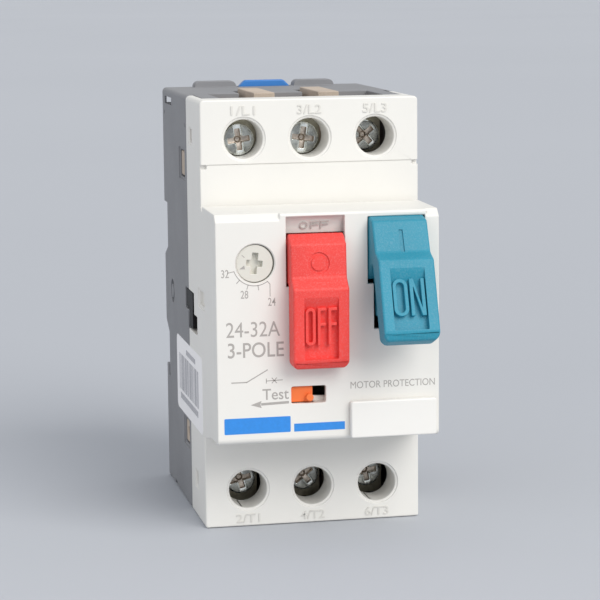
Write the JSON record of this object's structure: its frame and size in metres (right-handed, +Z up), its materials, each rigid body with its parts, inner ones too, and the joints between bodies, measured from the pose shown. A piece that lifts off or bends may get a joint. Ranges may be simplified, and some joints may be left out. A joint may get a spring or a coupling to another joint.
{
  "type": "motor protection breaker",
  "caption": "Rail-mounted breaker for motors: white front, dark rear shell, red and teal rocking levers, current dial, test slide and terminal screws.",
  "frame": {"origin": "middle of the rear face of the rib between the two rail grooves, on the back plane and on the rail's centre line", "axes": "+Y points out of the back, towards the panel; +Z points up, towards the line terminals; +X points to the right seen from the front"},
  "size_m": [0.045, 0.0813, 0.0891],
  "materials": {
    "white_plastic": "moulded, satin, warm off-white",
    "grey_plastic": "moulded, glass filled, fine grain",
    "tan_moulding": "phenolic moulding, fibrous",
    "plate_plastic": "smooth white",
    "label_paper": "coated sticker with plain bars",
    "red_plastic": "glass filled, slightly mottled",
    "teal_plastic": "glass filled, slightly mottled",
    "blue_plastic": "moulded, satin",
    "orange_plastic": "moulded, satin",
    "black_plastic": "moulded, satin",
    "dial_plastic": "moulded, satin, warm off-white",
    "zinc_steel": "zinc plated, bright",
    "clamp_steel": "yellow passivated",
    "spring_steel": "bright drawn",
    "bimetal_strip": "rolled strip",
    "copper": "bright copper"
  },
  "bodies": {
    "housing": {"base_housing": "grey_plastic", "front_cover": "white_plastic", "inner_frame": "tan_moulding", "marking_plate": "plate_plastic", "side_label": "label_paper", "lever_pin": "spring_steel", "mechanism_frame": "spring_steel", "cam_pin": "spring_steel", "rail_latch_spring": "spring_steel", "line_conductor_1": "copper", "line_conductor_2": "copper", "line_conductor_3": "copper", "fixed_contact_1": "copper", "fixed_contact_2": "copper", "fixed_contact_3": "copper", "load_conductor_1": "copper", "load_conductor_2": "copper", "load_conductor_3": "copper", "arc_chute_1": "spring_steel", "arc_chute_2": "spring_steel", "arc_chute_3": "spring_steel", "trip_coil_1": "copper", "trip_coil_2": "copper", "trip_coil_3": "copper", "bimetal_1": "bimetal_strip", "bimetal_2": "bimetal_strip", "bimetal_3": "bimetal_strip"},
    "off_lever": {"off_lever": "red_plastic"},
    "on_lever": {"on_lever": "teal_plastic"},
    "adjustment_dial": {"adjustment_dial": "dial_plastic"},
    "test_slide": {"test_slide": "orange_plastic"},
    "trip_bar": {"trip_bar": "dial_plastic"},
    "contact_carrier": {"contact_carrier": "black_plastic", "coupling_lever": "black_plastic", "moving_contact_1": "copper", "moving_contact_2": "copper", "moving_contact_3": "copper", "contact_spring_1": "spring_steel", "contact_spring_2": "spring_steel", "contact_spring_3": "spring_steel"},
    "toggle_cam": {"toggle_cam": "black_plastic"},
    "rail_latch": {"rail_latch": "blue_plastic"},
    "plunger_1": {"plunger_1": "spring_steel"},
    "plunger_2": {"plunger_2": "spring_steel"},
    "plunger_3": {"plunger_3": "spring_steel"},
    "upper_clamp_1": {"upper_clamp_1": "clamp_steel"},
    "upper_screw_1": {"upper_screw_1": "zinc_steel"},
    "upper_clamp_2": {"upper_clamp_2": "clamp_steel"},
    "upper_screw_2": {"upper_screw_2": "zinc_steel"},
    "upper_clamp_3": {"upper_clamp_3": "clamp_steel"},
    "upper_screw_3": {"upper_screw_3": "zinc_steel"},
    "lower_clamp_1": {"lower_clamp_1": "clamp_steel"},
    "lower_screw_1": {"lower_screw_1": "zinc_steel"},
    "lower_clamp_2": {"lower_clamp_2": "clamp_steel"},
    "lower_screw_2": {"lower_screw_2": "zinc_steel"},
    "lower_clamp_3": {"lower_clamp_3": "clamp_steel"},
    "lower_screw_3": {"lower_screw_3": "zinc_steel"}
  },
  "joints": [
    {"name": "on_lever_swing", "type": "hinge", "parent": "housing", "child": "on_lever", "pos_m": [0.01375, -0.0598, 0.01815], "axis": [1, 0, 0], "range_deg": [0, 20.7]},
    {"name": "off_lever_swing", "type": "hinge", "parent": "housing", "child": "off_lever", "pos_m": [-0.00255, -0.0598, 0.01815], "axis": [1, 0, 0], "range_deg": [-20.7, 0]},
    {"name": "carrier_slide", "type": "slide", "parent": "housing", "child": "contact_carrier", "axis": [0, -1, 0], "range_m": [0, 0.0026]},
    {"name": "cam_turn", "type": "hinge", "parent": "housing", "child": "toggle_cam", "pos_m": [0, -0.05, 0.002], "axis": [1, 0, 0], "range_deg": [0, 24.84]},
    {"name": "dial_turn", "type": "hinge", "parent": "housing", "child": "adjustment_dial", "pos_m": [-0.01474, -0.0681, 0.01282], "axis": [0, -1, 0], "range_deg": [0, 106]},
    {"name": "test_press", "type": "slide", "parent": "housing", "child": "test_slide", "axis": [-1, 0, 0], "range_m": [0, 0.0022], "stiffness_N_per_m": 150, "springref_m": -0.001},
    {"name": "trip_bar_slide", "type": "slide", "parent": "housing", "child": "trip_bar", "axis": [-1, 0, 0], "range_m": [0, 0.0022]},
    {"name": "latch_slide", "type": "slide", "parent": "housing", "child": "rail_latch", "axis": [0, 0, 1], "range_m": [0, 0.003], "stiffness_N_per_m": 600, "springref_m": -0.002, "deforming": ["rail_latch_spring"]},
    {"name": "plunger_1_slide", "type": "slide", "parent": "housing", "child": "plunger_1", "axis": [0, -1, 0], "range_m": [0, 0.002], "stiffness_N_per_m": 100, "springref_m": -0.001},
    {"name": "plunger_2_slide", "type": "slide", "parent": "housing", "child": "plunger_2", "axis": [0, -1, 0], "range_m": [0, 0.002], "stiffness_N_per_m": 100, "springref_m": -0.001},
    {"name": "plunger_3_slide", "type": "slide", "parent": "housing", "child": "plunger_3", "axis": [0, -1, 0], "range_m": [0, 0.002], "stiffness_N_per_m": 100, "springref_m": -0.001},
    {"name": "upper_clamp_1_slide", "type": "slide", "parent": "housing", "child": "upper_clamp_1", "axis": [0, 1, 0], "range_m": [-0.0006, 0.0063]},
    {"name": "upper_screw_1_turn", "type": "hinge", "parent": "upper_clamp_1", "child": "upper_screw_1", "pos_m": [-0.0136, -0.0461, 0.0354], "axis": [0, 1, 0], "range_deg": [-310.6, 3242]},
    {"name": "upper_clamp_2_slide", "type": "slide", "parent": "housing", "child": "upper_clamp_2", "axis": [0, 1, 0], "range_m": [-0.0018, 0.0051]},
    {"name": "upper_screw_2_turn", "type": "hinge", "parent": "upper_clamp_2", "child": "upper_screw_2", "pos_m": [0, -0.0449, 0.0354], "axis": [0, 1, 0], "range_deg": [-927.7, 2624.9]},
    {"name": "upper_clamp_3_slide", "type": "slide", "parent": "housing", "child": "upper_clamp_3", "axis": [0, 1, 0], "range_m": [-0.0048, 0.0021]},
    {"name": "upper_screw_3_turn", "type": "hinge", "parent": "upper_clamp_3", "child": "upper_screw_3", "pos_m": [0.0136, -0.0419, 0.0354], "axis": [0, 1, 0], "range_deg": [-2470.6, 1082]},
    {"name": "lower_clamp_1_slide", "type": "slide", "parent": "housing", "child": "lower_clamp_1", "axis": [0, 1, 0], "range_m": [-0.0043, 0.0026]},
    {"name": "lower_screw_1_turn", "type": "hinge", "parent": "lower_clamp_1", "child": "lower_screw_1", "pos_m": [-0.0136, -0.0424, -0.036], "axis": [0, 1, 0], "range_deg": [-2213.4, 1339.1]},
    {"name": "lower_clamp_2_slide", "type": "slide", "parent": "housing", "child": "lower_clamp_2", "axis": [0, 1, 0], "range_m": [-0.0047, 0.0022]},
    {"name": "lower_screw_2_turn", "type": "hinge", "parent": "lower_clamp_2", "child": "lower_screw_2", "pos_m": [0, -0.042, -0.036], "axis": [0, 1, 0], "range_deg": [-2419.1, 1133.4]},
    {"name": "lower_clamp_3_slide", "type": "slide", "parent": "housing", "child": "lower_clamp_3", "axis": [0, 1, 0], "range_m": [-0.005, 0.0019]},
    {"name": "lower_screw_3_turn", "type": "hinge", "parent": "lower_clamp_3", "child": "lower_screw_3", "pos_m": [0.0136, -0.0417, -0.036], "axis": [0, 1, 0], "range_deg": [-2573.4, 979.1]}
  ],
  "couplings": [
    {"joint": "off_lever_swing", "follows": "on_lever_swing", "ratio": -1},
    {"joint": "carrier_slide", "follows": "on_lever_swing", "m_per_rad": 0.00719},
    {"joint": "cam_turn", "follows": "on_lever_swing", "ratio": 1.2},
    {"joint": "trip_bar_slide", "follows": "test_press", "ratio": 1},
    {"joint": "upper_screw_1_turn", "follows": "upper_clamp_1_slide", "rad_per_m": 8976},
    {"joint": "upper_screw_2_turn", "follows": "upper_clamp_2_slide", "rad_per_m": 8976},
    {"joint": "upper_screw_3_turn", "follows": "upper_clamp_3_slide", "rad_per_m": 8976},
    {"joint": "lower_screw_1_turn", "follows": "lower_clamp_1_slide", "rad_per_m": 8976},
    {"joint": "lower_screw_2_turn", "follows": "lower_clamp_2_slide", "rad_per_m": 8976},
    {"joint": "lower_screw_3_turn", "follows": "lower_clamp_3_slide", "rad_per_m": 8976}
  ]
}
